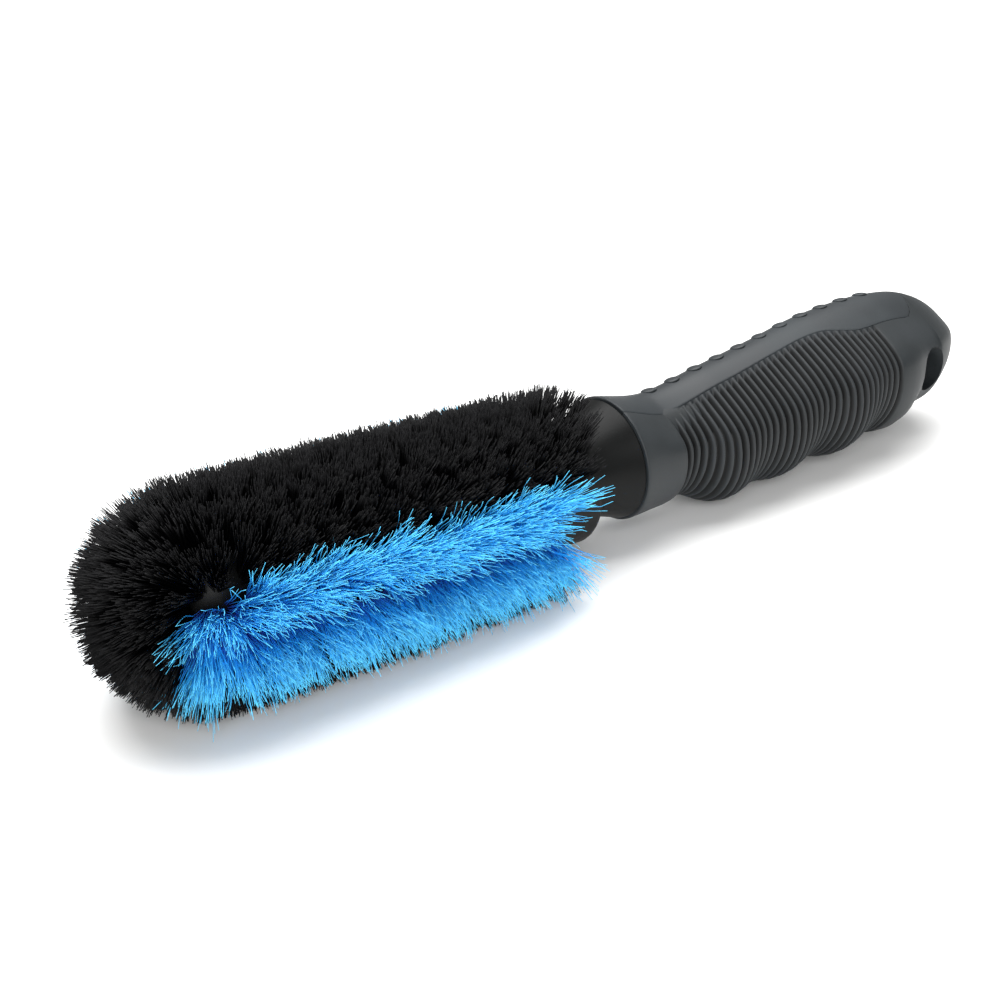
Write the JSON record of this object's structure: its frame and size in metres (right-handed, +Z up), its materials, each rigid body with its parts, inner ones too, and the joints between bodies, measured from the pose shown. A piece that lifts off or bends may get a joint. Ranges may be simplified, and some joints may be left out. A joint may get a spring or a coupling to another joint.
{
  "type": "wheel brush",
  "caption": "Hand brush for car wheels: a round bristle head with stiff black top bristles and soft blue side bristles, on a ribbed soft-grip handle with a hanging hole.",
  "frame": {"origin": "on the surface that the brush lies on, under the middle of its length and width", "axes": "+X along the brush from the bristle nose to the end of the handle, +Z up, XZ is the plane of symmetry of the head"},
  "size_m": [0.269, 0.056, 0.0503],
  "materials": {
    "core": "black polypropylene, moulded satin",
    "grip": "dark grey thermoplastic rubber, fine matt texture",
    "strip": "smooth grey thermoplastic rubber, satin",
    "black_bristle": "stiff black nylon filament, slightly glossy",
    "blue_bristle": "soft bright blue filament with split ends"
  },
  "bodies": {
    "root": {"brush_core": "core", "soft_grip": "grip", "grip_top_strip": "strip", "black_row_top_centre": "black_bristle", "black_row_top_left": "black_bristle", "black_row_top_right": "black_bristle", "black_row_shoulder_left": "black_bristle", "black_row_shoulder_right": "black_bristle", "blue_row_upper_left": "blue_bristle", "blue_row_upper_right": "blue_bristle", "blue_row_lower_left": "blue_bristle", "blue_row_lower_right": "blue_bristle", "black_row_under_left": "black_bristle", "black_row_under_right": "black_bristle", "black_row_under_centre": "black_bristle", "nose_tuft_centre": "black_bristle", "nose_tuft_1": "black_bristle", "nose_tuft_2": "black_bristle", "nose_tuft_3": "black_bristle", "nose_tuft_4": "black_bristle", "nose_tuft_5": "black_bristle", "nose_tuft_6": "black_bristle"}
  },
  "joints": []
}
